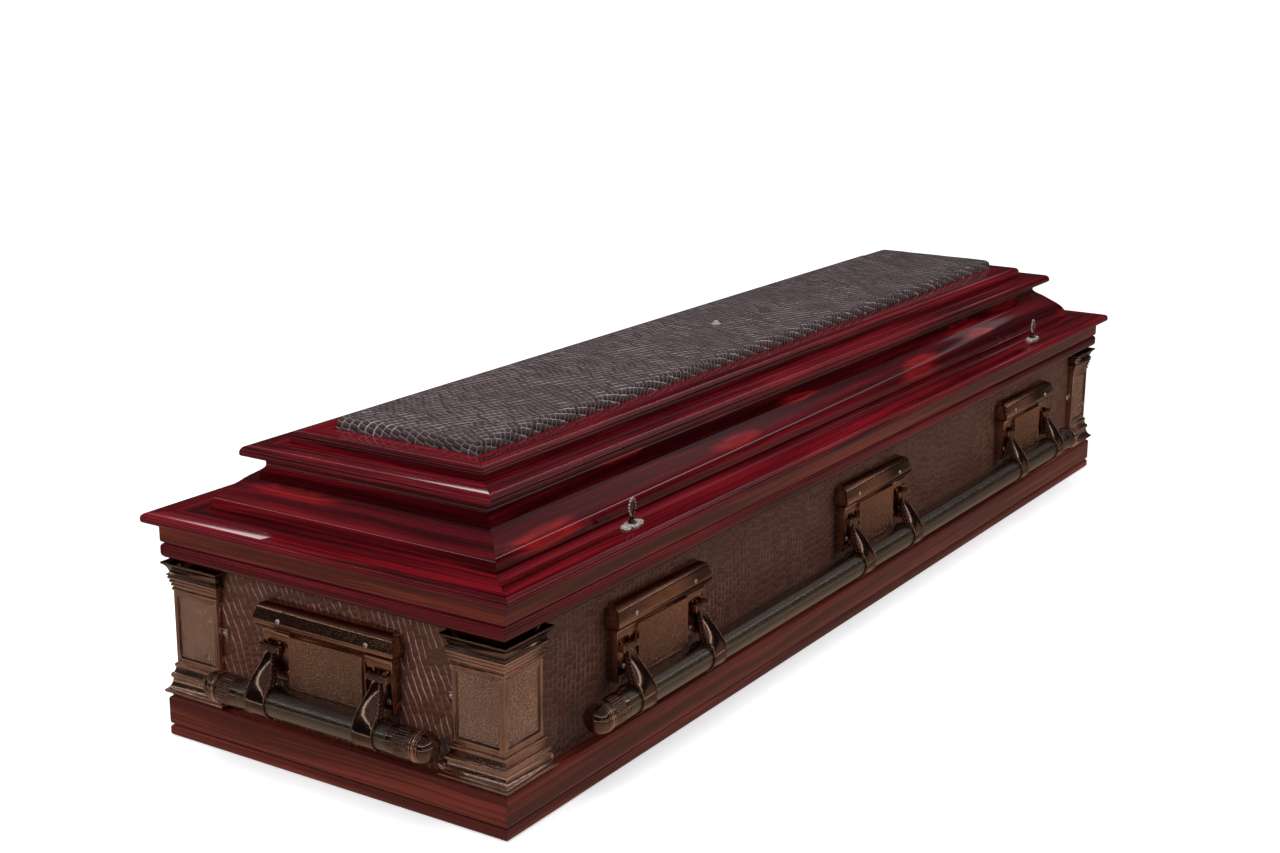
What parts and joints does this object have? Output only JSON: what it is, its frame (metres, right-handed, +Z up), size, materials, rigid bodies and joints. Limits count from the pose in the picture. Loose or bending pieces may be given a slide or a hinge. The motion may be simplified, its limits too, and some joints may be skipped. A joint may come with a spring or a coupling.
{
  "type": "funeral casket",
  "caption": "Rectangular wooden funeral casket with a stepped lift-off lid, covered side panels, cast corner pilasters and swing-bar handles.",
  "frame": {"origin": "middle of the footprint on the underside of the bottom board", "axes": "+X along the length towards the right end, +Y across the width towards the back, +Z up through the lid"},
  "size_m": [2.1426, 0.6686, 0.4545],
  "materials": {
    "red_wood": "high-gloss burgundy lacquer",
    "brown_wood": "high-gloss red-brown lacquer",
    "embossed_leather": "crocodile-embossed, semi-gloss",
    "antique_copper": "antique copper, lacquered",
    "gunmetal": "brushed dark bronze",
    "silver": "bright cast silver"
  },
  "bodies": {
    "casket": {"bottom_board": "brown_wood", "plinth_frame": "brown_wood", "side_wall_front": "embossed_leather", "side_wall_back": "embossed_leather", "end_wall_left": "embossed_leather", "end_wall_right": "embossed_leather", "rim_frame": "red_wood", "lid_ledge_frame": "red_wood", "lid_dome_frame": "red_wood", "lid_top_board": "red_wood", "lid_step_board": "red_wood", "lid_pad": "embossed_leather", "pilaster_front_left": "antique_copper", "pilaster_front_right": "antique_copper", "pilaster_back_left": "antique_copper", "pilaster_back_right": "antique_copper", "bracket_front_left": "antique_copper", "bracket_front_middle": "antique_copper", "bracket_front_right": "antique_copper", "bracket_back_left": "antique_copper", "bracket_back_middle": "antique_copper", "bracket_back_right": "antique_copper", "bracket_left_end": "antique_copper", "bracket_right_end": "antique_copper", "screw_plate_front_left": "silver", "screw_plate_front_right": "silver", "screw_plate_back_left": "silver", "screw_plate_back_right": "silver", "thumbscrew_front_left": "antique_copper", "thumbscrew_front_right": "antique_copper", "thumbscrew_back_left": "antique_copper", "thumbscrew_back_right": "antique_copper"},
    "front_handle": {"bar_front": "gunmetal", "arm_front_1": "antique_copper", "arm_front_2": "antique_copper", "arm_front_3": "antique_copper", "arm_front_4": "antique_copper", "arm_front_5": "antique_copper", "arm_front_6": "antique_copper", "end_cap_front_a": "antique_copper", "end_cap_front_b": "antique_copper"},
    "back_handle": {"bar_back": "gunmetal", "arm_back_1": "antique_copper", "arm_back_2": "antique_copper", "arm_back_3": "antique_copper", "arm_back_4": "antique_copper", "arm_back_5": "antique_copper", "arm_back_6": "antique_copper", "end_cap_back_a": "antique_copper", "end_cap_back_b": "antique_copper"},
    "left_handle": {"bar_left": "gunmetal", "arm_left_1": "antique_copper", "arm_left_2": "antique_copper", "end_cap_left_a": "antique_copper", "end_cap_left_b": "antique_copper"},
    "right_handle": {"bar_right": "gunmetal", "arm_right_1": "antique_copper", "arm_right_2": "antique_copper", "end_cap_right_a": "antique_copper", "end_cap_right_b": "antique_copper"}
  },
  "joints": [
    {"name": "front_handle_swing", "type": "hinge", "parent": "casket", "child": "front_handle", "pos_m": [0, -0.2981, 0.176], "axis": [-1, 0, 0], "range_deg": [0, 80]},
    {"name": "back_handle_swing", "type": "hinge", "parent": "casket", "child": "back_handle", "pos_m": [0, 0.2981, 0.176], "axis": [1, 0, 0], "range_deg": [0, 80]},
    {"name": "left_handle_swing", "type": "hinge", "parent": "casket", "child": "left_handle", "pos_m": [-1.0351, 0, 0.176], "axis": [0, 1, 0], "range_deg": [0, 80]},
    {"name": "right_handle_swing", "type": "hinge", "parent": "casket", "child": "right_handle", "pos_m": [1.0351, 0, 0.176], "axis": [0, -1, 0], "range_deg": [0, 80]}
  ]
}
